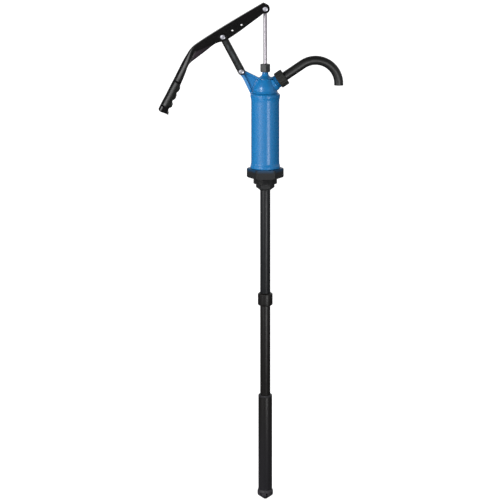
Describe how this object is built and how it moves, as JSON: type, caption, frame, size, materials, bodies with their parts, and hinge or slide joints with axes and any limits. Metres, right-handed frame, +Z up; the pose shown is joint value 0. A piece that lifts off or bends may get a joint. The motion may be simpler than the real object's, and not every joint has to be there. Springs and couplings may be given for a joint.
{
  "type": "drum barrel pump",
  "caption": "Lever-action barrel pump: a hand lever and link work a piston in a blue barrel on a hexagonal bung adaptor, with a curved spout and a telescopic suction tube.",
  "frame": {"origin": "on the pump axis at the flat tip of the foot, with the telescopic sleeve drawn out; the bung seat is 0.803 m above it", "axes": "+Z up along the pump axis, +X towards the spout, -X towards the lever, -Y towards the bolt heads"},
  "size_m": [0.4615, 0.08, 1.2393],
  "materials": {
    "blue_paint": "glossy blue enamel on cast iron and tube",
    "black_cast": "satin black phosphate finish",
    "black_gloss": "gloss black powder coating on pressed steel",
    "black_tube": "semi-gloss black painted steel tube",
    "brown_black_tube": "semi-gloss brown-black painted steel tube",
    "black_plastic": "matt black moulded plastic",
    "union_plastic": "matt black moulded ribbed nut",
    "polished_steel": "ground and polished stainless steel",
    "zinc": "bright zinc plate",
    "brass": "turned brass",
    "rubber": "nitrile rubber"
  },
  "bodies": {
    "drum_adaptor": {"bung_nut": "black_cast"},
    "pump_body": {"pump_base": "black_cast", "base_seal": "rubber", "foot_valve_cage": "brass", "barrel": "blue_paint", "head_seal": "rubber", "suction_tube_nut": "black_cast", "suction_tube_upper": "black_tube", "tube_coupling": "brown_black_tube", "suction_tube_lower": "brown_black_tube", "tube_stop_ring": "brass", "pump_head": "blue_paint", "gland_packing": "rubber", "gland_washer": "brass", "gland_nut": "black_cast", "bracket_bolt": "zinc", "bracket_nut": "zinc"},
    "piston_and_rod": {"piston_rod": "polished_steel", "rod_eye": "zinc", "piston": "brass", "piston_cup": "rubber", "piston_nut": "zinc", "valve_stop": "zinc"},
    "piston_valve_disc": {"piston_valve": "brass"},
    "foot_valve_disc": {"foot_valve": "brass"},
    "lever_arm": {"lever": "black_gloss", "rod_bolt": "zinc", "rod_nut": "zinc", "rod_spacer_front": "zinc", "rod_spacer_rear": "zinc", "fulcrum_bolt": "zinc", "fulcrum_nut": "zinc", "fulcrum_washer_front": "black_gloss", "fulcrum_washer_rear": "black_gloss"},
    "link_arm": {"link": "black_gloss"},
    "outlet_union": {"union_nut": "union_plastic"},
    "outlet_spout": {"spout": "black_gloss", "spout_collar": "black_cast", "spout_seal": "rubber"},
    "telescopic_sleeve": {"suction_sleeve": "brown_black_tube", "sleeve_cap": "black_plastic", "foot_strainer": "black_plastic"}
  },
  "joints": [
    {"name": "pump_swivel", "type": "hinge", "parent": "drum_adaptor", "child": "pump_body", "pos_m": [0, 0, 0.803], "axis": [0, 0, 1], "continuous": true},
    {"name": "piston_stroke", "type": "slide", "parent": "pump_body", "child": "piston_and_rod", "axis": [0, 0, -1], "range_m": [0, 0.1]},
    {"name": "lever_pivot", "type": "hinge", "parent": "piston_and_rod", "child": "lever_arm", "pos_m": [0, 0, 1.224], "axis": [0, 1, 0], "range_deg": [0, 40.84]},
    {"name": "link_pivot", "type": "hinge", "parent": "pump_body", "child": "link_arm", "pos_m": [-0.0596, 0, 1.06775], "axis": [0, -1, 0], "range_deg": [0, 14.05]},
    {"name": "piston_valve_lift", "type": "slide", "parent": "piston_and_rod", "child": "piston_valve_disc", "axis": [0, 0, 1], "range_m": [0, 0.003]},
    {"name": "foot_valve_lift", "type": "slide", "parent": "pump_body", "child": "foot_valve_disc", "axis": [0, 0, 1], "range_m": [0, 0.005]},
    {"name": "union_turn", "type": "hinge", "parent": "pump_body", "child": "outlet_union", "pos_m": [0, 0, 1.0215], "axis": [0.8281, 0, 0.5606], "continuous": true},
    {"name": "spout_swivel", "type": "hinge", "parent": "pump_body", "child": "outlet_spout", "pos_m": [0, 0, 1.0215], "axis": [0.8281, 0, 0.5606], "continuous": true},
    {"name": "sleeve_slide", "type": "slide", "parent": "pump_body", "child": "telescopic_sleeve", "axis": [0, 0, 1], "range_m": [0, 0.2]}
  ],
  "couplings": [
    {"joint": "lever_pivot", "follows": "piston_stroke", "rad_per_m": 7.1278},
    {"joint": "link_pivot", "follows": "piston_stroke", "rad_per_m": 2.4511}
  ]
}
